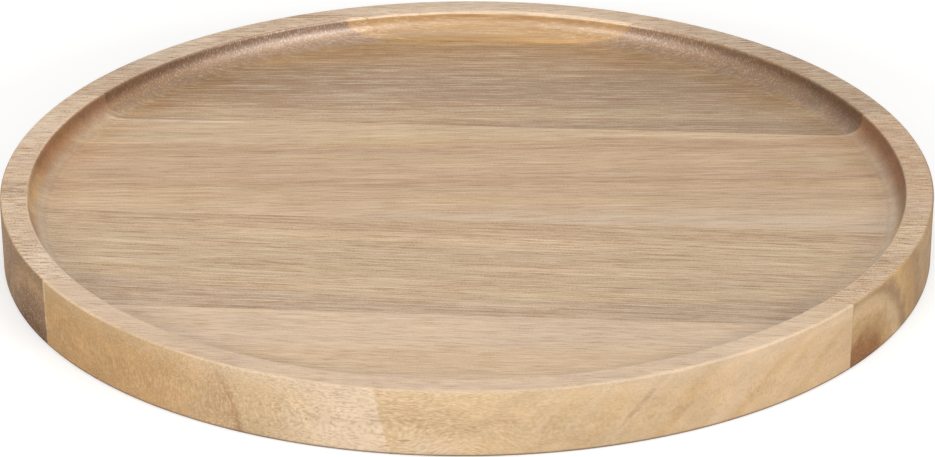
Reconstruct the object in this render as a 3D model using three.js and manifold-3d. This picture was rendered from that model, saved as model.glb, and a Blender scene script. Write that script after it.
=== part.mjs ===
// Round wooden plate: a panel of parallel acacia staves, edge-glued and turned to a shallow dish with a raised rim.
// Millimetres, +Z up. The origin is the centre of the underside. The grain runs along X, and the staves lie side by
// side along Y from the front (-Y) to the back (+Y), each with its own stretch of floor and rim.
import * as THREE from "three";
import { mergeVertices } from "three/addons/utils/BufferGeometryUtils.js";
import Module from "manifold-3d";

const wasm = await Module();
wasm.setup();

// Turned dish
const PLATE_DIAMETER = 260;
const PLATE_HEIGHT = 20;
const RIM_WIDTH = 8;
const WELL_DEPTH = 7;
const COVE_RADIUS = 6;
const WALL_DRAFT = 0.8;
const RIM_OUTER_EDGE_RADIUS = 0.8;
const RIM_INNER_EDGE_RADIUS = 1;
const BASE_EDGE_RADIUS = 0.7;

// Glued panel: widths of the staves, counted in from the front and from the back edge of the plate. The middle stave
// is as wide as the others leave it.
const FRONT_STAVE_WIDTH = 62;
const SECOND_STAVE_WIDTH = 61;
const FOURTH_STAVE_WIDTH = 59;
const BACK_STAVE_WIDTH = 14;
const GLUE_LINE_THICKNESS = 0.15;

// Faceting
const TURNED_SEGMENTS = 96;
const ARC_DIVISIONS = 3;

const plateRadius = PLATE_DIAMETER / 2;
const baseRadius = plateRadius - WALL_DRAFT;
const wellRadius = plateRadius - RIM_WIDTH;
const floorHeight = PLATE_HEIGHT - WELL_DEPTH;

// A solid for cutting and joining, from a closed three.js geometry.
function solidFrom(geometry) {
  geometry.deleteAttribute("normal");
  geometry.deleteAttribute("uv");
  const merged = mergeVertices(geometry);
  return new wasm.Manifold(
    new wasm.Mesh({
      numProp: 3,
      vertProperties: merged.getAttribute("position").array,
      triVerts: new Uint32Array(merged.index.array),
    }),
  );
}

function geometryFrom(solid) {
  const mesh = solid.getMesh();
  const geometry = new THREE.BufferGeometry();
  geometry.setAttribute("position", new THREE.BufferAttribute(mesh.vertProperties, 3));
  geometry.setIndex(new THREE.BufferAttribute(mesh.triVerts, 1));
  geometry.computeVertexNormals();
  return geometry;
}

// Half section of the dish as turned on the lathe, from the middle of the underside round to the middle of the floor.
// The outer wall draws in a little from the rim to the foot.
function dishSection() {
  const quarter = Math.PI / 2;
  const innerEdge = RIM_INNER_EDGE_RADIUS;
  const cove = Math.min(COVE_RADIUS, WELL_DEPTH - innerEdge);
  const section = new THREE.Path();
  section.moveTo(0, 0);
  section.lineTo(baseRadius - BASE_EDGE_RADIUS, 0);
  section.absarc(baseRadius - BASE_EDGE_RADIUS, BASE_EDGE_RADIUS, BASE_EDGE_RADIUS, -quarter, 0);
  section.lineTo(plateRadius, PLATE_HEIGHT - RIM_OUTER_EDGE_RADIUS);
  section.absarc(
    plateRadius - RIM_OUTER_EDGE_RADIUS,
    PLATE_HEIGHT - RIM_OUTER_EDGE_RADIUS,
    RIM_OUTER_EDGE_RADIUS,
    0,
    quarter,
  );
  section.lineTo(wellRadius + innerEdge, PLATE_HEIGHT);
  section.absarc(wellRadius + innerEdge, PLATE_HEIGHT - innerEdge, innerEdge, quarter, 2 * quarter);
  section.lineTo(wellRadius, floorHeight + cove);
  section.absarc(wellRadius - cove, floorHeight + cove, cove, 0, -quarter, true);
  section.lineTo(0, floorHeight);
  return section.getPoints(ARC_DIVISIONS);
}

function turnedDish() {
  const dish = new THREE.LatheGeometry(dishSection(), TURNED_SEGMENTS);
  dish.rotateX(Math.PI / 2);
  return solidFrom(dish);
}

// An upright slab of the panel between two Y planes, larger than the dish in X and Z.
function panelSlab(front, back) {
  const slab = new THREE.BoxGeometry(2 * PLATE_DIAMETER, back - front, 4 * PLATE_HEIGHT);
  slab.translate(0, (front + back) / 2, 0);
  return solidFrom(slab);
}

// Y of each glue line, from the front to the back.
function glueLines() {
  const behindFront = FRONT_STAVE_WIDTH - plateRadius;
  const behindSecond = behindFront + SECOND_STAVE_WIDTH;
  const beforeBack = plateRadius - BACK_STAVE_WIDTH;
  const beforeFourth = beforeBack - FOURTH_STAVE_WIDTH;
  return [behindFront, behindSecond, beforeFourth, beforeBack];
}

const sapwood = new THREE.MeshStandardMaterial({ color: "#cfa46c", roughness: 0.55, metalness: 0 });
const palePinkHeartwood = new THREE.MeshStandardMaterial({ color: "#c9a887", roughness: 0.55, metalness: 0 });
const greyHeartwood = new THREE.MeshStandardMaterial({ color: "#bd9d77", roughness: 0.55, metalness: 0 });
const brownHeartwood = new THREE.MeshStandardMaterial({ color: "#ad8b66", roughness: 0.55, metalness: 0 });
const dryGlue = new THREE.MeshStandardMaterial({ color: "#d9bd8f", roughness: 0.4, metalness: 0 });
const staveMaterials = [palePinkHeartwood, greyHeartwood, palePinkHeartwood, brownHeartwood, sapwood];

function piece(name, solid, material) {
  const mesh = new THREE.Mesh(geometryFrom(solid), material);
  mesh.name = name;
  return mesh;
}

const plate = new THREE.Group();
plate.name = "wooden_plate";
const dish = turnedDish();
const lines = glueLines();
const halfGlue = GLUE_LINE_THICKNESS / 2;

lines.forEach((line, i) => {
  const film = dish.intersect(panelSlab(line - halfGlue, line + halfGlue));
  plate.add(piece(`glue_line_${i + 1}_${i + 2}`, film, dryGlue));
});

for (let i = 0; i <= lines.length; i++) {
  const front = i === 0 ? -PLATE_DIAMETER : lines[i - 1] + halfGlue;
  const back = i === lines.length ? PLATE_DIAMETER : lines[i] - halfGlue;
  const side = i === 0 ? "_front" : i === lines.length ? "_back" : "";
  const stave = dish.intersect(panelSlab(front, back));
  plate.add(piece(`stave_${i + 1}${side}`, stave, staveMaterials[i % staveMaterials.length]));
}

export default plate;
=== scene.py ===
import math

import bmesh
import bpy
from mathutils import Matrix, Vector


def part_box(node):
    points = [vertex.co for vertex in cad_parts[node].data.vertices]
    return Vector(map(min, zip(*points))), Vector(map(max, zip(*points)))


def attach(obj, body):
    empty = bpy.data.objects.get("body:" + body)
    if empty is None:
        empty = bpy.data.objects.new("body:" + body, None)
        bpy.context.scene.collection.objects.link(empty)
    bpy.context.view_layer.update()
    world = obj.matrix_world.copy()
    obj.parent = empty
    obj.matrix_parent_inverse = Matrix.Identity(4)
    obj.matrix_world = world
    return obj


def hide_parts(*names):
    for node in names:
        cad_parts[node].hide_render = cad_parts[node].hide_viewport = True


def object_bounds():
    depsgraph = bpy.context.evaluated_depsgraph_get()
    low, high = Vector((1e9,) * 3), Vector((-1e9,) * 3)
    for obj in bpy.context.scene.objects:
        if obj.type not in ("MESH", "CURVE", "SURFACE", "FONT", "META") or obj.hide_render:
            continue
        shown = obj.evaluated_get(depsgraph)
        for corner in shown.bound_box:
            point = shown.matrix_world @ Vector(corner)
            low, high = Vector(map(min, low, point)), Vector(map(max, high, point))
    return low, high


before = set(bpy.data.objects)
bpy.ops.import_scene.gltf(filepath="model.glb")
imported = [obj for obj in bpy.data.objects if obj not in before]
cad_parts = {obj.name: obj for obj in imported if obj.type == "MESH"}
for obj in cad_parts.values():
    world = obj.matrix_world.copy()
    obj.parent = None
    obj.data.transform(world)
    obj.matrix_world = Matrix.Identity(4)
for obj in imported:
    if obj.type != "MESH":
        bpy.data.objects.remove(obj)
CAD_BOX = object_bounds()

bl_info = {
    "name": "Acacia plate",
    "version": (1, 0, 0),
    "blender": (4, 5, 0),
    "location": "View3D > Sidebar > Plate",
    "description": "A round plate turned from an edge-glued acacia panel",
    "category": "Add Mesh",
}

MM = 0.001
WHITE = (1, 1, 1, 1)
STAVES = ("stave_1_front", "stave_2", "stave_3", "stave_4", "stave_5_back")
GLUE_LINES = ("glue_line_1_2", "glue_line_2_3", "glue_line_3_4", "glue_line_4_5")

# Meshes, in metres
TURNED_STEPS = 360
MERGE_DISTANCE = 0.001 * MM
SAW_TOLERANCE = 0.0001 * MM
SHORTEST_FLAT = 3 * MM
FLAT_MARGIN = 0.3 * MM

# Wood, in millimetres where a value is a length
FLOOR_LEVEL = 13
OUTSIDE_FROM = 124
OUTSIDE_TO = 127
BOW_REACH = 65
SEED_STRIDE = 37.0
FIBRE_CONTRAST = 9.8
DARK_LAYER = 41.2
SLANTING_LINE = 45.3

# Stage, in metres
LIGHT_DISTANCE = 1.6
FLOOR_REACH = 4
FLOOR_DROP = 0.1 * MM
FLOOR_GLOW = 0.55
CAMERA_PLACE = (0.20352, -2.52148, 1.18378)
SENSOR_WIDTH = 36
FAR_CLIP = 50


def linear(code):
    """The linear colour of a code such as c9a887."""
    parts = [int(code[i : i + 2], 16) / 255 for i in (0, 2, 4)]
    return tuple(p / 12.92 if p <= 0.04045 else ((p + 0.055) / 1.055) ** 2.4 for p in parts)


def length(name, description, default):
    """A length in metres that shows in the sidebar."""
    return bpy.props.FloatProperty(
        name=name, description=description, default=default, min=0, unit="LENGTH", precision=4
    )


def swatch(name, description, code):
    """A colour that shows in the sidebar."""
    return bpy.props.FloatVectorProperty(
        name=name, description=description, default=linear(code), min=0, max=1, size=3, subtype="COLOR"
    )


def amount(name, description, default):
    """A plain number that shows in the sidebar."""
    return bpy.props.FloatProperty(name=name, description=description, default=default, min=0)


def angle(name, description, degrees):
    """An angle that shows in the sidebar."""
    return bpy.props.FloatProperty(
        name=name, description=description, default=math.radians(degrees), unit="ROTATION"
    )


class PlateDish(bpy.types.PropertyGroup):
    """Sizes of the turned dish."""

    diameter: length("Diameter", "Across the rim", CAD_BOX[1][0] - CAD_BOX[0][0])
    height: length("Height", "Underside to rim", CAD_BOX[1][2] - CAD_BOX[0][2])
    rim_width: length("Rim width", "Flat of the rim with its two edges", 8 * MM)
    well_depth: length("Well depth", "Rim to floor", 7 * MM)
    cove: length("Cove", "Radius where the wall runs into the floor", 6 * MM)
    wall_draft: length("Wall draft", "How far the outer wall draws in from the rim to the foot", 0.8 * MM)
    rim_outer_edge: length("Outer edge", "Rounding of the rim outside", 0.8 * MM)
    rim_inner_edge: length("Inner edge", "Rounding of the rim inside", 1 * MM)
    base_edge: length("Base edge", "Rounding of the foot", 0.7 * MM)


class PlateWood(bpy.types.PropertyGroup):
    """Tones and finish of the acacia."""

    cream: swatch("Cream", "Palest heartwood", "d0b292")
    straw: swatch("Straw", "Pale bands", "ccab84")
    rose: swatch("Rose", "Pinkish heartwood", "c5a078")
    russet: swatch("Russet", "Reddish growth lines", "ba936a")
    beige: swatch("Beige", "Greyish heartwood", "c4a47d")
    olive: swatch("Olive", "Greenish tan bands", "bd9a70")
    drab: swatch("Drab", "Pale band in the brown wood", "b89973")
    brown: swatch("Brown", "Brown heartwood", "aa8760")
    mauve: swatch("Mauve", "Dark streaks in the brown wood", "a2805c")
    plum: swatch("Plum", "Purple-grey streaks", "b29374")
    bleached: swatch("Bleached", "Palest outer wood", "dfc5a7")
    wheat: swatch("Wheat", "Golden outer wood", "ceaf84")
    shell: swatch("Shell", "Pinkish outer wood", "dfbd92")
    amber: swatch("Amber", "Golden wood of the back stave", "ab8450")
    gold: swatch("Gold", "Yellow streaks", "ccab78")
    blush: swatch("Blush", "Tint of the pinkish patches", "fff8f8")
    sand: swatch("Sand", "Tint of the yellowish patches", "faffee")
    honey: swatch("Honey", "Deep golden outer wood", "ca9f6a")
    tan: swatch("Tan", "Golden-brown end grain", "cda570")
    chestnut: swatch("Chestnut", "Reddish end grain", "9c6839")
    umber: swatch("Umber", "Brown end grain", "8c6b4d")
    rust: swatch("Rust", "Dark reddish end grain", "855433")
    bark_red: swatch("Bark red", "Warm dark end grain", "6a4422")
    bark_brown: swatch("Bark brown", "Darkest end grain", "62442d")
    pore: swatch("Pore", "Dark fibres and open pores", "885309")
    fleck: swatch("Fleck", "Pale fibres", "e7d0b0")
    glue: swatch("Glue", "Dry glue", "e0c79c")
    gloss: amount("Roughness", "Roughness of the oiled face", 0.44)


class PlateStage(bpy.types.PropertyGroup):
    """Floor, light and camera."""

    floor: swatch("Floor", "Pale studio floor", "c4c3c1")
    sky: amount("Sky", "Soft light from all round", 0.36)
    front_power: amount("Front softbox", "Watts of the left and of the right softbox in front", 7.5)
    top_power: amount("Top softbox", "Watts of the softbox above", 9.0)
    card_power: amount("Card", "Watts of the card that shows in the polish at the right", 22.0)
    heading: angle("Heading", "Turn of the camera about the upright axis", 4.6115)
    pitch: angle("Pitch", "How far the camera looks down", 24.9395)
    roll: angle("Roll", "Lean of the camera", -0.2756)
    lens: amount("Lens", "Focal length in millimetres", 385.03)


class Value:
    """A shader socket that Python arithmetic works on. Each operation adds a Math node."""

    def __init__(self, net, socket):
        self.net = net
        self.socket = socket

    def math(self, operation, *others):
        """This value and others through a Math node."""
        inputs = dict(enumerate((self, *others)))
        return self.net.add("ShaderNodeMath", {"operation": operation}, inputs)

    def swapped(self, operation, other):
        """A Math node with this value as its second input."""
        return self.net.add("ShaderNodeMath", {"operation": operation}, {0: other, 1: self})

    def __add__(self, other):
        return self.math("ADD", other)

    __radd__ = __add__

    def __sub__(self, other):
        return self.math("SUBTRACT", other)

    def __rsub__(self, other):
        return self.swapped("SUBTRACT", other)

    def __mul__(self, other):
        return self.math("MULTIPLY", other)

    __rmul__ = __mul__

    def __truediv__(self, other):
        return self.math("DIVIDE", other)

    def __abs__(self):
        return self.math("ABSOLUTE")


class Net:
    """A node tree that is written as expressions."""

    def __init__(self, tree):
        self.tree = tree
        tree.nodes.clear()

    @staticmethod
    def socket(sockets, key):
        """A socket by its number, identifier or name."""
        if isinstance(key, int):
            return sockets[key]
        return next(s for s in sockets if key in (s.identifier, s.name))

    def add(self, kind, settings=None, inputs=None, output=0):
        """Adds a node, sets it, fills or links its inputs and returns one of its outputs."""
        node = self.tree.nodes.new(kind)
        for key, setting in (settings or {}).items():
            if key == "stops":
                self.set_stops(node.color_ramp, setting)
            else:
                setattr(node, key, setting)
        for key, value in (inputs or {}).items():
            target = self.socket(node.inputs, key)
            if isinstance(value, Value):
                self.tree.links.new(value.socket, target)
            else:
                target.default_value = value
        if not node.outputs:
            return None
        return Value(self, self.socket(node.outputs, output))

    @staticmethod
    def set_stops(ramp, stops):
        """Gives a colour ramp its stops, with soft changes between them."""
        ramp.interpolation = "EASE"
        while len(ramp.elements) < len(stops):
            ramp.elements.new(1)
        for element, (position, colour) in zip(ramp.elements, stops):
            element.position = position
            element.color = (*colour, 1)

    def split(self, vector):
        """The three parts of a vector."""
        first = self.add("ShaderNodeSeparateXYZ", None, {"Vector": vector})
        return [Value(self, s) for s in first.socket.node.outputs]

    def join(self, x, y, z):
        """A vector of three parts."""
        return self.add("ShaderNodeCombineXYZ", None, {0: x, 1: y, 2: z})

    def noise(self, x, y, z, detail=2.0, roughness=0.5):
        """Cloudy noise about 0.5, with one cloud or so to a unit."""
        inputs = {"Vector": self.join(x, y, z), "Scale": 1.0, "Detail": detail, "Roughness": roughness}
        return self.add("ShaderNodeTexNoise", {"noise_dimensions": "3D"}, inputs)

    def step(self, value, low, high):
        """0 below low and 1 above high, with a soft change between."""
        inputs = {"Value": value, "From Min": low, "From Max": high}
        return self.add("ShaderNodeMapRange", {"interpolation_type": "SMOOTHSTEP"}, inputs)

    def mix(self, factor, a, b):
        """Colour a, or b where factor is 1."""
        a, b = [c if isinstance(c, Value) else (*c, 1) for c in (a, b)]
        inputs = {"Factor_Float": factor, "A_Color": a, "B_Color": b}
        return self.add("ShaderNodeMix", {"data_type": "RGBA"}, inputs, "Result_Color")

    def scale(self, colour, factor):
        """A colour made lighter or darker."""
        inputs = {"Vector": colour, "Scale": factor}
        return self.add("ShaderNodeVectorMath", {"operation": "SCALE"}, inputs)

    def dye(self, colour, tint):
        """A colour seen through a tint."""
        return self.add("ShaderNodeVectorMath", {"operation": "MULTIPLY"}, {0: colour, 1: tint})

    def ramp(self, value, low, high, stops):
        """Tones along a value that runs from low to high."""
        fitted = self.add("ShaderNodeMapRange", None, {"Value": value, "From Min": low, "From Max": high})
        placed = [((at - low) / (high - low), colour) for at, colour in stops]
        return self.add("ShaderNodeValToRGB", {"stops": placed}, {"Fac": fitted})

    def bands(self, value, stops):
        """Tones along a value, from the first stop to the last."""
        return self.ramp(value, stops[0][0], stops[-1][0], stops)


def new_material(name):
    """An empty material and its net."""
    material = bpy.data.materials.new(name)
    material.use_nodes = True
    return material, Net(material.node_tree)


class Cut:
    """How a stave was sawn from its log, and the tones of its wood.

    Bands are millimetres from front to back on the floor, or out from the pith where the stave has one, each
    with the tone that the wood has there. The two ends have bands of their own, left and right. A streak is a
    tone that comes and goes along the fibres, and the crown is the flat of the rim.
    """

    slope = 0.0  # degrees between the grain and the seams
    lean = 0.0  # how far the layers shift for each millimetre of height
    pith = None  # middle of the log, as across and up, where the layers are round
    bow = 0.0  # how far the layers bow in the middle of the stave
    skew = 0.0  # how the rounding of the layers changes along the stave
    fibre = 24.0  # length of the fibres in millimetres
    fine = 0.3  # contrast of the fibres
    dusk = 0.08  # how much darker the wood gets to the right
    streaks = 0.3  # share of the streaks
    rings = 0.06  # contrast of the growth rings on the sides
    tint = 0.6  # strength of the pinkish and yellowish patches
    crown_share = 0.7  # share of the rim's own tone
    crown_fibre = 0.5  # how much stronger the fibres are on the rim
    end_share = 0.85  # share of the tones of the ends
    end_shade = 0.15  # how much darker the ends are
    ends = None  # bands of the left and the right end
    flank = None  # tone of the cove and the walls
    flank_share = 1.0  # share of that tone
    painted_shade_under_rim = 0.0  # share of the painted shade under the inner edge of the rim

    def __init__(self, **features):
        self.__dict__.update(features)


def stave_cuts(wood):
    """The cut of each stave, by its name."""
    w = wood
    return {
        "stave_1_front": Cut(
            pith=(-77, 1),
            skew=0.007,
            bands=[
                (0, w.straw),
                (7, w.straw),
                (10, w.cream),
                (14, w.cream),
                (20, w.straw),
                (28, w.straw),
                (34, w.cream),
            ],
            streak=w.rose,
            streaks=0.2,
            fibre=9.0,
            fine=0.4,
            dusk=0.03,
            tint=0.3,
            crown=w.cream,
            crown_fibre=-0.08,
        ),
        "stave_2": Cut(
            slope=-1.0,
            pith=(-62, -4),
            bow=1.6,
            bands=[
                (6, w.chestnut),
                (13, w.plum),
                (17.6, w.plum),
                (19.5, w.beige),
                (44, w.beige),
                (47, w.straw),
                (48.5, w.straw),
                (50.5, w.olive),
                (57, w.olive),
            ],
            streak=w.plum,
            fibre=36.0,
            fine=0.67,
            tint=0.45,
            rings=0.16,
            crown=w.cream,
            ends=(
                [
                    (4, w.bark_brown),
                    (11, w.umber),
                    (16, w.brown),
                    (21, w.umber),
                    (30, w.mauve),
                    (38, w.umber),
                    (46, w.olive),
                    (56, w.beige),
                ],
                [
                    (0, w.rust),
                    (6, w.chestnut),
                    (12, w.tan),
                    (17, w.shell),
                    (21, w.brown),
                    (25, w.tan),
                    (29, w.honey),
                    (34, w.brown),
                    (40, w.olive),
                ],
            ),
            end_share=0.9,
            end_shade=0.0,
        ),
        "stave_3": Cut(
            slope=5.2,
            lean=0.8,
            bands=[
                (-14, w.cream),
                (-6, w.cream),
                (0, w.straw),
                (8, w.rose),
                (14.5, w.rose),
                (18, w.russet),
                (19.5, w.russet),
                (24, w.rose),
                (38, w.rose),
                (41, w.russet),
                (45.5, w.russet),
                (49, w.straw),
                (60, w.straw),
            ],
            streak=w.russet,
            fine=0.47,
            crown=w.cream,
            ends=(
                [(16, w.tan), (28, w.chestnut), (48, w.chestnut), (62, w.rust), (72, w.rust)],
                [(-16, w.brown), (-2, w.umber), (12, w.rust), (48, w.rust)],
            ),
            painted_shade_under_rim=0.3,
        ),
        "stave_4": Cut(
            slope=4.0,
            lean=-0.7,
            bands=[
                (50, w.mauve),
                (57, w.mauve),
                (60, w.brown),
                (63, w.drab),
                (66, w.drab),
                (72, w.brown),
                (78, w.mauve),
                (94, w.mauve),
                (104, w.brown),
                (126, w.brown),
            ],
            streak=w.mauve,
            streaks=0.4,
            dusk=0.16,
            fibre=34.0,
            fine=0.65,
            crown=w.cream,
            crown_share=0.85,
            crown_fibre=0.2,
            ends=(
                [(56, w.bark_red), (116, w.bark_red)],
                [(56, w.bark_brown), (116, w.bark_brown)],
            ),
            flank=w.umber,
            flank_share=0.7,
            painted_shade_under_rim=0.75,
        ),
        "stave_5_back": Cut(
            slope=1.0,
            lean=0.5,
            bands=[(108, w.honey), (116, w.honey), (124, w.amber), (131, w.straw)],
            streak=w.russet,
            fine=0.45,
            crown=w.cream,
            crown_share=2.0,
            crown_fibre=0.2,
            flank=w.amber,
        ),
    }


def front_wall(net, wood, x, z, layer):
    """The outer wall of the front stave, where its growth layers come out.

    From the left: honey heart, one dark line, pale sapwood with a ragged edge, and slanting layers. A painted
    highlight pales the top of the wall.
    """
    ragged = net.noise(x / 4, z / 2, 0.0, 1.0) - 0.5
    left_stops = [(-130, wood.honey), (-80, wood.honey), (-48, wood.wheat), (-22, wood.bleached)]
    left = net.ramp(x, -130, 0, left_stops)
    right = net.bands(x, [(0, wood.wheat), (50, wood.wheat), (85, wood.shell), (110, wood.shell)])
    edge = x + ragged * 2.4 + z * 0.23 + 10.7
    tone = net.mix(net.step(edge, -0.5, 0.5), left, right)
    glint = net.step(edge, -4.0, -0.8) * net.step(edge, 0.2, -0.5)
    glint = glint + net.step(abs(x), 14, 2) * net.step(z, 9, 3)
    tone = net.mix(glint * 0.6, tone, wood.bleached)

    past = layer + ragged * 0.5 - DARK_LAYER
    shade = net.step(past, -7.0, -0.2) * net.step(past, 0.5, -0.5)
    line = net.step(abs(past), 0.9, 0.1) * (0.5 - z * 0.018) + shade * 0.28
    tone = net.mix(line * net.step(x, 0, -30), tone, wood.chestnut)

    slant = x - z * 0.91 + ragged
    sweep = net.noise(slant / 7, z / 50, 0.0, 1.0)
    slanting = net.step(x, 10, 40)
    tone = net.mix(net.step(sweep, 0.5, 0.7) * slanting * 0.5, tone, wood.honey)
    tone = net.mix(net.step(sweep, 0.5, 0.3) * slanting * 0.35, tone, wood.bleached)
    line = net.step(abs(slant - SLANTING_LINE), 1.8, 0.2) * net.step(z, 3, 9)
    tone = net.mix(line * 0.35, tone, wood.chestnut)

    cloud = net.noise(x / 6, z / 5, 5.0, 1.0)
    tone = net.scale(tone, cloud * 0.26 + 0.87)
    grain = net.noise(x / 2.2, z / 1.6, 9.0, 1.0, 0.6)
    tone = net.mix(net.step(grain, 0.5, 0.7) * 0.15, tone, wood.honey)
    tone = net.mix(net.step(grain, 0.5, 0.3) * 0.18, tone, wood.bleached)
    # painted highlight: the top of the front wall is paled, less so in its golden middle
    golden = net.step(abs(x - 12), 45, 20)
    pale = net.mix(net.step(x, -80, -45), wood.wheat, wood.bleached)
    return net.mix(net.step(z, 13, 19) * (1 - golden * 0.8) * 0.5, tone, pale)


def growth_layer(cut, x, z, across, wave):
    """How far out a point lies in the log: from its pith, or from front to back where that is far away."""
    if not cut.pith:
        return across + (z - FLOOR_LEVEL) * cut.lean
    out = across - wave * 1.5 - cut.pith[0]
    up = z - cut.pith[1]
    from_pith = (out * out + up * up * (x * cut.skew + 1)).math("SQRT")
    return from_pith + (1 - x * x / BOW_REACH**2) * cut.bow


class Grain:
    """Where a point lies in its stave, in millimetres, and the noises that follow the fibres there."""

    def __init__(self, net, name, cut):
        turn = math.radians(cut.slope)
        seed = SEED_STRIDE * (STAVES.index(name) + 1)
        x, y, z = [part / MM for part in net.split(net.add("ShaderNodeTexCoord", None, None, "Object"))]
        along = x * math.cos(turn) + y * math.sin(turn) + seed
        wave = net.noise(along / 140, y / 35, z / 35, 1.0) - 0.5
        across = y * math.cos(turn) - x * math.sin(turn) + wave * 2
        layer = growth_layer(cut, x, z, across, wave)
        rise = z
        if name == "stave_1_front":
            rise = z + net.step(abs(x - 10), 0, 16) * net.step(z, 13, 3) * 5

        self.place = (x, y, z)
        self.layer = layer
        # Noises, from the broad figure to the fine grain
        self.rings = net.noise(layer / 1.8, along / 250, z / 200, 1.0) - 0.5
        self.broad = net.noise(along / 130, layer / 5, z / 8, 2.0, 0.6)
        self.streak = net.noise(along / 110, across / 1.7, rise / 1.6, 1.0, 0.6)
        self.tint = (net.noise(along / 110, across / 5, z / 5, 1.0) - 0.5) * cut.tint
        self.smudge = net.noise(along / 40, across / 2.2, z / 2.2, 1.0) - 0.5
        self.blotch = net.noise(along / 20, across / 5, z / 3.5, 2.0, 0.6) - 0.5
        self.mottle = net.noise(along / 12, across / 26, z / 26, 1.0)
        self.fine = net.noise(along / cut.fibre, across / 0.5, z / 0.5, 2.0, 0.7)
        self.hair = net.noise(along / 9, across / 0.7, rise / 0.3, 0.0)
        self.grit = net.noise(along / 5, across / 0.4, z / 0.4, 1.0, 0.6)
        self.speck = net.noise(along / 1.6, across / 0.4, rise / 0.3, 1.0, 0.6)
        self.dot = net.noise(along / 0.6, across / 0.6, rise / 0.5, 1.0, 0.6)
        self.nick = net.noise(along / 0.4, across / 0.4, z / 1.0, 1.0, 0.6)


class Faces:
    """Which face and side of its stave a point is on, each as a mask from 0 to 1."""

    def __init__(self, net, cut, place):
        x, y, z = place
        turn = math.radians(cut.slope)
        normal_x, normal_y, normal_z = net.split(net.add("ShaderNodeNewGeometry", None, None, "Normal"))
        level = abs(normal_z)
        facing_end = abs(normal_x * math.cos(turn) + normal_y * math.sin(turn))
        rounded = net.step(level, 0.1, 0.4) * net.step(level, 0.995, 0.93)

        self.left = net.step(x, 70, -70)
        self.outside = net.step(x * x + y * y, OUTSIDE_FROM**2, OUTSIDE_TO**2)
        self.side = net.step(level, 0.97, 0.6)  # any face that isn't level
        self.wall = net.step(level, 0.85, 0.45)  # the steep ones of these
        self.outer_wall = self.side * self.outside
        self.front_middle = net.step(abs(x + 22), 50, 15)  # middle of the front wall
        self.cove = net.step(level, 0.99, 0.8) * (1 - self.outside)
        self.foot = net.step(level, 0.999, 0.97) * net.step(level, 0.55, 0.85)  # foot of the cove
        self.sloping = net.step(level, 0.98, 0.8) * net.step(z, 19.6, 18.9)  # cove and walls
        self.crown = net.step(z, 16.5, 19.5) * (1 - self.side)  # flat of the rim
        self.brow = rounded * net.step(z, 17, 19) * self.outside  # outer edge of the rim
        self.cross_cut = net.step(facing_end, 0.2, 0.4)  # faces across the fibres
        self.end_grain = net.step(level, 0.9995, 0.88) * net.step(facing_end, 0.35, 0.9)


def beside(net, y, glue_line):
    """1 close to a glue line and 0 further off."""
    return net.step(abs(y - sum(span(glue_line)) / 2 / MM), 0.7, 0.2)


def seam_marks(net, wood, name, tone, place, faces):
    """What shows in the wood beside the seams: soaked-in glue, dark lines, and darker and paler stretches.

    The seam behind the middle stave runs a little askew at the left, so a pale line and brown wood show on
    that stave.
    """
    x, y, z = place
    floor = 1 - faces.side
    well = floor - faces.crown
    if name in ("stave_1_front", "stave_2"):
        patchy = net.noise(0.0, y / 9, z / 2.5, 1.0)
        thick = net.step(z + (patchy - 0.5) * 30, 4, 15)
        soaked = beside(net, y, "glue_line_1_2") * faces.outer_wall * net.step(x, -60, -90) * thick
        tone = net.mix(soaked * 0.7, tone, wood.glue)
    if name in ("stave_3", "stave_4"):
        soaked = beside(net, y, "glue_line_3_4") * floor * net.step(x, 35, 80)
        tone = net.mix(soaked * 0.6, tone, wood.glue)
    if name == "stave_2":
        dark_line = beside(net, y, "glue_line_2_3") * faces.crown * net.step(x, 95, 115)
        tone = net.mix(dark_line * 0.6, tone, wood.bark_brown)
        tone = net.mix(net.step(y, -60, -65) * net.step(x, 40, 15) * well * 0.9, tone, wood.plum)
        shadow = net.step(y, -21, -17) * net.step(y, -7, -11) * net.step(x, -50, -75) * well
        tone = net.mix(shadow * 0.5, tone, wood.olive)
    if name == "stave_3":
        pale = net.step(y, 51, 54) * net.step(x, 15, 40) * net.step(x, 100, 85) * floor
        tone = net.mix(pale * 0.6, tone, wood.shell)
        tone = net.mix(net.step(y, 5, -2) * net.step(x, -45, -70) * floor * 0.4, tone, wood.shell)
        askew = y - 54.7 - (x + 90) * 0.02
        at_left = net.step(x, -55, -80) * floor
        tone = net.mix(net.step(askew, 0.2, 0.8) * at_left * 0.8, tone, wood.brown)
        tone = net.mix(net.step(abs(askew), 1.1, 0.3) * at_left * 0.9, tone, wood.bleached)
    if name in ("stave_2", "stave_3"):
        dark_rim = net.step(y, -14, -11) * net.step(y, -4, -6) * faces.crown * net.step(x, -90, -115)
        tone = net.mix(dark_rim * 0.5, tone, wood.mauve)
    if name == "stave_4":
        shadow = net.step(y, 72, 78) * net.step(y, 98, 90) * net.step(x, 75, 50) * floor
        tone = net.mix(shadow * 0.35, tone, wood.umber)
    return tone


def rim_patches(net, wood, name, tone, place, faces):
    """Paler and darker stretches on the flat of the rim.

    Each has its middle from left to right and from front to back, its reach, its tone and the share of it.
    """
    x, y, _ = place
    stretches = {
        "stave_1_front": [(-62, -110, 20, wood.plum, 0.4), (89, -89, 24, wood.bleached, 0.4)],
        "stave_2": [(-109, -63, 24, wood.bleached, 0.7), (109, -63, 20, wood.rose, 0.4)],
        "stave_3": [(-122, 33, 18, wood.bleached, 0.6), (126, 16, 30, wood.russet, 0.5)],
        "stave_4": [
            (-90, 88, 18, wood.bleached, 0.5),
            (-106, 66, 16, wood.mauve, 0.5),
            (63, 109, 26, wood.bleached, 0.4),
        ],
    }
    for middle_x, middle_y, reach, patch, share in stretches.get(name, []):
        off_x = x - middle_x
        off_y = y - middle_y
        near = net.step((off_x * off_x + off_y * off_y).math("SQRT"), reach, reach * 0.4)
        tone = net.mix(near * faces.crown * share, tone, patch)
    return tone


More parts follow.
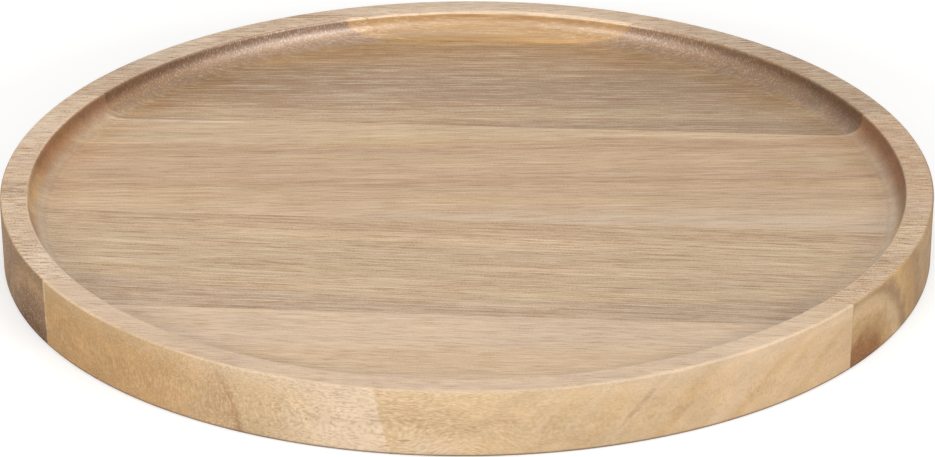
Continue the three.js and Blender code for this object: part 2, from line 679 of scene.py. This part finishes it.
def fibres(net, cut, grain, faces):
    """How strongly a dark fibre, a pale fibre and an open pore show."""
    x = grain.place[0]
    plain = grain.fine * 0.55 + grain.grit * 0.27 + grain.dot * 0.18
    top = grain.fine * 0.3 + grain.grit * 0.48 + grain.dot * 0.22
    strand = plain + (top - plain) * faces.crown
    steep = strand + (grain.nick - strand) * faces.cross_cut
    cut_short = grain.speck + (grain.dot - grain.speck) * net.step(x, -35, -60)
    steep = steep + (cut_short - steep) * faces.outside
    strand = strand + (steep - strand) * faces.wall - 0.5

    calm = faces.outside * (net.step(x, 10, 50) * 0.28 + 0.2 - faces.front_middle * 0.5)
    calm = calm + (1 - faces.outside) * faces.cross_cut * 0.4
    depth = (1 + faces.crown * cut.crown_fibre) * (1 - faces.wall * 0.4) * (1 - faces.wall * calm)
    depth = depth * (1 - faces.foot * 0.5) * cut.fine * FIBRE_CONTRAST
    dark = strand * depth * (1 - faces.wall * (faces.outside * 0.2 + 0.2))
    pale = strand * depth * (faces.end_grain * 0.6 - faces.wall * faces.outside * 0.3 - 1)
    pore = net.step(grain.hair, 0.62, 0.74)
    return dark.math("MAXIMUM", 0.0), pale.math("MAXIMUM", 0.0), pore


def layer_tone(net, wood, name, cut, grain, faces):
    """The tone of the growth layers and streaks, and of the rim, walls and ends that they come out on, with
    painted shade under the rim's inner edge and painted highlights on the rim's edges.
    """
    x, y, z = grain.place
    tone = net.bands(grain.layer + (grain.broad - 0.5) * 1.6, cut.bands)
    tone = net.mix(net.step(grain.streak, 0.56, 0.72) * cut.streaks, tone, cut.streak)
    tone = net.mix(net.step(grain.streak, 0.46, 0.28) * cut.streaks, tone, wood.gold)
    tone = net.dye(tone, net.bands(grain.tint, [(-0.2, wood.sand), (0, (1, 1, 1)), (0.2, wood.blush)]))
    tone = net.mix(faces.crown * (faces.left * 0.75 + 0.25) * cut.crown_share, tone, cut.crown)
    if cut.flank:
        tone = net.mix(faces.sloping * cut.flank_share, tone, cut.flank)
    heartwood = 1
    if name == "stave_4":
        heartwood = 1 - net.step(y - x * 0.02, 114.6, 115.0) * net.step(x, 0, -15)
        tone = net.mix(heartwood, wood.amber, tone)
    if name == "stave_1_front":
        tone = net.mix(faces.side, tone, front_wall(net, wood, x, z, grain.layer))
        # painted highlight: the rounded outer edge of the rim is paled toward bleached
        tone = net.mix(faces.brow * 0.6, tone, wood.bleached)
    if cut.ends:
        left_end, right_end = [net.bands(grain.layer + grain.blotch * 5, stops) for stops in cut.ends]
        tone = net.mix(faces.end_grain * cut.end_share, tone, net.mix(faces.left, right_end, left_end))
        if name == "stave_4":
            tone = net.mix(faces.end_grain * faces.left * net.step(z, 17.5, 15) * 0.25, tone, wood.tan)
    # painted shade: the wall just under the rim's inner edge is darkened toward bark brown
    if cut.painted_shade_under_rim:
        painted_shade_under_rim = net.step(z, 16, 18) * net.step(z, 19.97, 19.7) * faces.side * (1 - faces.outside)
        tone = net.mix(painted_shade_under_rim * (faces.left * 0.5 + 0.5) * cut.painted_shade_under_rim * heartwood, tone, wood.bark_brown)
    # painted highlight: the rounded inner edge of the rim at the back is paled toward bleached
    painted_back_edge_highlight = net.step(z, 18.9, 19.5) * (1 - faces.outside) * net.step(y, 112, 116)
    return net.mix(painted_back_edge_highlight * 0.7, tone, wood.bleached)


def lightness(net, name, cut, grain, faces):
    """How much lighter or darker the wood is than its tone, with painted shade and highlights on the sides,
    in the foot of the cove and on the rim's outer edge.
    """
    x, y, z = grain.place
    light = 1 + (grain.broad - 0.5) * 0.34 + (grain.mottle - 0.5) * 0.1
    light = light + grain.smudge * (0.3 - faces.outer_wall * 0.22)
    light = light + grain.rings * faces.side * cut.rings + faces.crown * 0.04
    light = light - net.step(x, -20, 100) * cut.dusk
    if cut.ends:
        light = light * (1 - faces.end_grain * cut.end_shade) * (1 + faces.end_grain * grain.blotch * 0.5)
    # painted shade: the sides get lighter toward the top and darker toward the foot
    light = light * (1 + (z - 10) * faces.side * 0.006)
    # painted shade in the foot of the cove, except at the back stave
    light = light * (1 - faces.foot * net.step(z, 17, 15) * net.step(y, 115, 113) * 0.15)
    # painted shade and highlight: the foot of the back cove is darker at the left and lighter at the right
    if name == "stave_5_back":
        light = light * (1 + faces.foot * (net.step(x, -25, 25) - 0.5) * 0.4)
    # painted shade and highlight on the rim's outer edge: darker in the middle, plain toward the right,
    # lighter at the far left
    painted_edge_light = net.step(x, 30, 100) * 0.2 + net.step(x, -30, -55) * 0.08 + net.step(x, -80, -100) * 0.18
    light = light * (1 + faces.brow * (painted_edge_light - 0.2))
    return light * (1 - faces.outer_wall * net.step(x, 10, 40) * net.step(x, 95, 75) * 0.06)


def acacia(name, wood):
    """Solid oiled acacia: layers, streaks, fibres and pores that run through the stave to its end grain."""
    cut = stave_cuts(wood)[name]
    material, net = new_material(name + "_acacia")
    grain = Grain(net, name, cut)
    faces = Faces(net, cut, grain.place)
    dark_fibre, pale_fibre, pore = fibres(net, cut, grain, faces)

    tone = layer_tone(net, wood, name, cut, grain, faces)
    tone = seam_marks(net, wood, name, tone, grain.place, faces)
    tone = rim_patches(net, wood, name, tone, grain.place, faces)
    tone = net.mix(dark_fibre * 0.92, tone, net.mix(faces.outer_wall, wood.pore, wood.chestnut))
    tone = net.mix(pale_fibre * 0.72, tone, wood.fleck)
    porous = faces.side * (1 - faces.outside + faces.front_middle * faces.outside)
    tone = net.mix(pore * (porous * 0.12 + 0.12), tone, wood.pore)
    # painted shadow: the lowest millimetre of the sides darkens toward bark brown where the plate stands on
    # the floor
    base_edge = net.step(grain.place[2], 1.0, 0.4) * faces.side
    tone = net.mix(base_edge * 0.8, tone, wood.bark_brown)
    colour = net.scale(tone, lightness(net, name, cut, grain, faces))

    height = pale_fibre - pore * 0.6 + grain.broad * 0.3
    bump = net.add("ShaderNodeBump", None, {"Strength": 0.25, "Distance": 0.12 * MM, "Height": height})
    rough = dark_fibre * 0.2 + pore * 0.08 + faces.end_grain * 0.25 + wood.gloss
    shine = 0.6 + faces.cove * 0.4 - faces.end_grain * 0.7 - faces.brow * 0.5
    shader = net.add(
        "ShaderNodeBsdfPrincipled",
        None,
        {
            "Base Color": colour,
            "Roughness": rough,
            "Normal": bump,
            "IOR": 1.5,
            "Specular IOR Level": 0.3,
            "Coat Weight": shine,
            "Coat Roughness": 0.34,
        },
    )
    net.add("ShaderNodeOutputMaterial", None, {"Surface": shader})
    return material


def dry_glue(wood):
    """Hairlines of glue, thick and pale at the left of two seams, and stained by the wood elsewhere."""
    material, net = new_material("dry_glue")
    place = net.add("ShaderNodeTexCoord", None, None, "Object")
    x, y, z = [part / MM for part in net.split(place)]
    patches = net.noise(x / 14, y / 20, z / 6, 2.0)
    at_left = net.step(x + (patches - 0.5) * 40, -30, -70)
    front_seam = net.step(y, -40, -60) * net.step(z, 3, 14)
    floor_seam = net.step(y, 30, 50) * net.step(y, 90, 70) * net.step(z, 15, 13.5)
    stained = net.mix(net.step(z, 13.2, 15) * net.step(z, 19.8, 18), wood.olive, wood.umber)
    stained = net.mix(net.step(y, 90, 110), stained, wood.amber)
    colour = net.mix(at_left * (front_seam + floor_seam), stained, wood.glue)
    colour = net.scale(colour, 0.85 + patches * 0.3)
    rough = patches * 0.2 + 0.3
    shader = net.add("ShaderNodeBsdfPrincipled", None, {"Base Color": colour, "Roughness": rough})
    net.add("ShaderNodeOutputMaterial", None, {"Surface": shader})
    return material


def turned_dish(dish):
    """The whole dish as turned: a half section with rounded corners, spun about the upright axis."""
    radius = dish.diameter / 2
    well = radius - dish.rim_width
    floor = dish.height - dish.well_depth
    foot = radius - dish.wall_draft
    shape = bmesh.new()
    corners = ((0, 0), (foot, 0), (radius, dish.height), (well, dish.height), (well, floor), (0, floor))
    points = [shape.verts.new((across, 0, up)) for across, up in corners]
    for pair in zip(points, points[1:]):
        shape.edges.new(pair)
    # Radius and segments of each rounded corner, from the foot round to the cove
    rounded = ((dish.base_edge, 6), (dish.rim_outer_edge, 5), (dish.rim_inner_edge, 5), (dish.cove, 14))
    for point, (size, segments) in zip(points[1:5], rounded):
        bmesh.ops.bevel(
            shape,
            geom=[point],
            offset=size,
            offset_type="OFFSET",
            segments=segments,
            profile=0.5,
            affect="VERTICES",
            material=-1,
        )
    bmesh.ops.remove_doubles(shape, verts=shape.verts[:], dist=MERGE_DISTANCE)
    hold_flats(shape)
    bmesh.ops.spin(
        shape,
        geom=shape.verts[:] + shape.edges[:],
        cent=(0, 0, 0),
        axis=(0, 0, 1),
        angle=2 * math.pi,
        steps=TURNED_STEPS,
        use_merge=True,
    )
    bmesh.ops.remove_doubles(shape, verts=shape.verts[:], dist=MERGE_DISTANCE)
    bmesh.ops.recalc_face_normals(shape, faces=shape.faces[:])
    return shape


def hold_flats(shape):
    """Splits the straight stretches of the section close to their ends, so that the flats shade as flats."""
    for edge in [e for e in shape.edges if e.calc_length() > SHORTEST_FLAT]:
        share = FLAT_MARGIN / edge.calc_length()
        cut = bmesh.ops.bisect_edges(shape, edges=[edge], cuts=1, edge_percents={edge: share})
        pieces = [e for e in cut["geom_split"] if isinstance(e, bmesh.types.BMEdge)]
        longest = max(pieces, key=lambda e: e.calc_length())
        share = 1 - FLAT_MARGIN / longest.calc_length()
        bmesh.ops.bisect_edges(shape, edges=[longest], cuts=1, edge_percents={longest: share})


def cut_slab(dish_shape, front, back):
    """The part of the dish between two upright planes across it, with its sawn faces closed."""
    slab = dish_shape.copy()
    for place, facing in ((front, -1), (back, 1)):
        cut = bmesh.ops.bisect_plane(
            slab,
            geom=slab.verts[:] + slab.edges[:] + slab.faces[:],
            dist=SAW_TOLERANCE,
            plane_co=(0, place, 0),
            plane_no=(0, facing, 0),
            clear_outer=True,
        )
        sawn = [e for e in cut["geom_cut"] if isinstance(e, bmesh.types.BMEdge)]
        if sawn:
            bmesh.ops.edgeloop_fill(slab, edges=sawn)
        for edge in sawn:
            edge.smooth = False
    bmesh.ops.recalc_face_normals(slab, faces=slab.faces[:])
    return slab


def add_piece(name, shape, material, node):
    """A finished piece that stands for a solid of the frame."""
    for face in shape.faces:
        face.smooth = True
    mesh = bpy.data.meshes.new(name)
    shape.to_mesh(mesh)
    shape.free()
    mesh.materials.append(material)
    piece = bpy.data.objects.new(name, mesh)
    bpy.context.scene.collection.objects.link(piece)
    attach(piece, "root")
    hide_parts(node)
    return piece


def span(node):
    """Front and back of a solid of the frame."""
    low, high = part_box(node)
    return low[1], high[1]


class PLATE_OT_staves(bpy.types.Operator):
    """Turn the dish and saw it into its staves"""

    bl_idname = "plate.staves"
    bl_label = "Staves"

    def execute(self, context):
        slots = (
            "front_stave_wood",
            "second_stave_wood",
            "middle_stave_wood",
            "fourth_stave_wood",
            "back_stave_wood",
        )
        dish = turned_dish(context.scene.plate_dish)
        for node, slot in zip(STAVES, slots):
            material = acacia(node, context.scene.plate_wood)
            add_piece(node + "_turned", cut_slab(dish, *span(node)), material, node)
        dish.free()
        return {"FINISHED"}


class PLATE_OT_glue_lines(bpy.types.Operator):
    """Lay the films of glue between the staves"""

    bl_idname = "plate.glue_lines"
    bl_label = "Glue lines"

    def execute(self, context):
        material = dry_glue(context.scene.plate_wood)
        dish = turned_dish(context.scene.plate_dish)
        for node in GLUE_LINES:
            add_piece(node + "_film", cut_slab(dish, *span(node)), material, node)
        dish.free()
        return {"FINISHED"}


class PLATE_OT_stage(bpy.types.Operator):
    """Set the floor, the light and the camera"""

    bl_idname = "plate.stage"
    bl_label = "Stage"

    def execute(self, context):
        stage = context.scene.plate_stage
        context.scene.view_settings.view_transform = "Standard"
        self.lay_floor(context, stage)
        self.light_world(context, stage)
        front = stage.front_power
        card = stage.card_power
        self.hang_softbox(context, "right_softbox", front, (0.8, 0.16), azimuth=314, elevation=23)
        self.hang_softbox(context, "left_softbox", front, (0.8, 0.16), azimuth=240, elevation=23)
        self.hang_softbox(context, "middle_softbox", front * 0.5, (0.5, 0.25), azimuth=277, elevation=23)
        self.hang_softbox(context, "top_softbox", stage.top_power, (1.2, 1.2), azimuth=300, elevation=78)
        self.hang_card(context, "right_card", card, (1.6, 1.1), azimuth=322, elevation=27)
        self.hang_card(context, "left_card", card * 0.5, (1.2, 1.1), azimuth=229, elevation=27)
        self.set_camera(context, stage)
        return {"FINISHED"}

    @staticmethod
    def shown(net):
        """1 where the camera sees a surface, straight or in a reflection, and 0 where it only gives light."""
        ray = net.add("ShaderNodeLightPath")
        outputs = ray.socket.node.outputs
        seen = [Value(net, outputs[n]) for n in ("Is Camera Ray", "Is Glossy Ray", "Is Transmission Ray")]
        return (seen[0] + seen[1] + seen[2]).math("MINIMUM", 1.0)

    def lay_floor(self, context, stage):
        material, net = new_material("studio_floor")
        plain = net.add("ShaderNodeBsdfDiffuse", None, {"Color": (*stage.floor, 1)})
        glow = self.shown(net) * FLOOR_GLOW
        lift = net.add("ShaderNodeEmission", None, {"Color": WHITE, "Strength": glow})
        both = net.add("ShaderNodeAddShader", None, {0: plain, 1: lift})
        net.add("ShaderNodeOutputMaterial", None, {"Surface": both})
        shape = bmesh.new()
        bmesh.ops.create_grid(shape, x_segments=1, y_segments=1, size=FLOOR_REACH)
        bmesh.ops.translate(shape, verts=shape.verts[:], vec=(0, 0, -FLOOR_DROP))
        mesh = bpy.data.meshes.new("studio_floor")
        shape.to_mesh(mesh)
        shape.free()
        mesh.materials.append(material)
        floor = bpy.data.objects.new("studio_floor", mesh)
        context.scene.collection.objects.link(floor)

    def light_world(self, context, stage):
        world = bpy.data.worlds.new("studio")
        world.use_nodes = True
        context.scene.world = world
        net = Net(world.node_tree)
        soft = net.add("ShaderNodeBackground", None, {"Color": WHITE, "Strength": stage.sky})
        white = net.add("ShaderNodeBackground", None, {"Color": WHITE, "Strength": 1.0})
        both = net.add("ShaderNodeMixShader", None, {0: self.shown(net), 1: soft, 2: white})
        net.add("ShaderNodeOutputWorld", None, {"Surface": both})

    def hang_softbox(self, context, name, power, size, azimuth, elevation):
        """A softbox that faces the plate, with its place in degrees: round from the right, and up."""
        lamp = bpy.data.lights.new(name, "AREA")
        lamp.shape = "RECTANGLE"
        lamp.size, lamp.size_y = size
        lamp.energy = power
        box = bpy.data.objects.new(name, lamp)
        tip = Matrix.Rotation(math.radians(90 - elevation), 4, "X")
        swing = Matrix.Rotation(math.radians(azimuth + 90), 4, "Z")
        box.matrix_world = swing @ tip @ Matrix.Translation((0, 0, LIGHT_DISTANCE))
        context.scene.collection.objects.link(box)
        return box

    def hang_card(self, context, name, power, size, azimuth, elevation):
        """A white card in front, which shows in the polish of the wood and gives no other light."""
        card = self.hang_softbox(context, name, power, size, azimuth, elevation)
        card.visible_diffuse = False

    def set_camera(self, context, stage):
        lens = bpy.data.cameras.new("camera")
        lens.sensor_width = SENSOR_WIDTH
        lens.lens = stage.lens
        lens.clip_end = FAR_CLIP
        camera = bpy.data.objects.new("camera", lens)
        turn = (
            Matrix.Rotation(stage.heading, 4, "Z")
            @ Matrix.Rotation(math.pi / 2 - stage.pitch, 4, "X")
            @ Matrix.Rotation(stage.roll, 4, "Z")
        )
        camera.matrix_world = Matrix.Translation(CAMERA_PLACE) @ turn
        context.scene.collection.objects.link(camera)
        context.scene.camera = camera


class PLATE_PT_sidebar(bpy.types.Panel):
    """Sizes, tones and steps of the plate"""

    bl_label = "Acacia plate"
    bl_idname = "PLATE_PT_sidebar"
    bl_space_type = "VIEW_3D"
    bl_region_type = "UI"
    bl_category = "Plate"

    def draw(self, context):
        for title, group in (
            ("Dish", context.scene.plate_dish),
            ("Wood", context.scene.plate_wood),
            ("Stage", context.scene.plate_stage),
        ):
            part = self.layout.box()
            part.label(text=title)
            for key in group.bl_rna.properties.keys():
                if key not in ("rna_type", "name"):
                    part.prop(group, key)
        for step in (PLATE_OT_staves, PLATE_OT_glue_lines, PLATE_OT_stage):
            self.layout.operator(step.bl_idname)


CLASSES = (
    PlateDish,
    PlateWood,
    PlateStage,
    PLATE_OT_staves,
    PLATE_OT_glue_lines,
    PLATE_OT_stage,
    PLATE_PT_sidebar,
)


def register():
    for cls in CLASSES:
        bpy.utils.register_class(cls)
    bpy.types.Scene.plate_dish = bpy.props.PointerProperty(type=PlateDish)
    bpy.types.Scene.plate_wood = bpy.props.PointerProperty(type=PlateWood)
    bpy.types.Scene.plate_stage = bpy.props.PointerProperty(type=PlateStage)


def unregister():
    del bpy.types.Scene.plate_stage
    del bpy.types.Scene.plate_wood
    del bpy.types.Scene.plate_dish
    for cls in reversed(CLASSES):
        bpy.utils.unregister_class(cls)


def main():
    register()
    bpy.ops.plate.stage()
    bpy.ops.plate.staves()
    bpy.ops.plate.glue_lines()


if __name__ == "__main__":
    main()
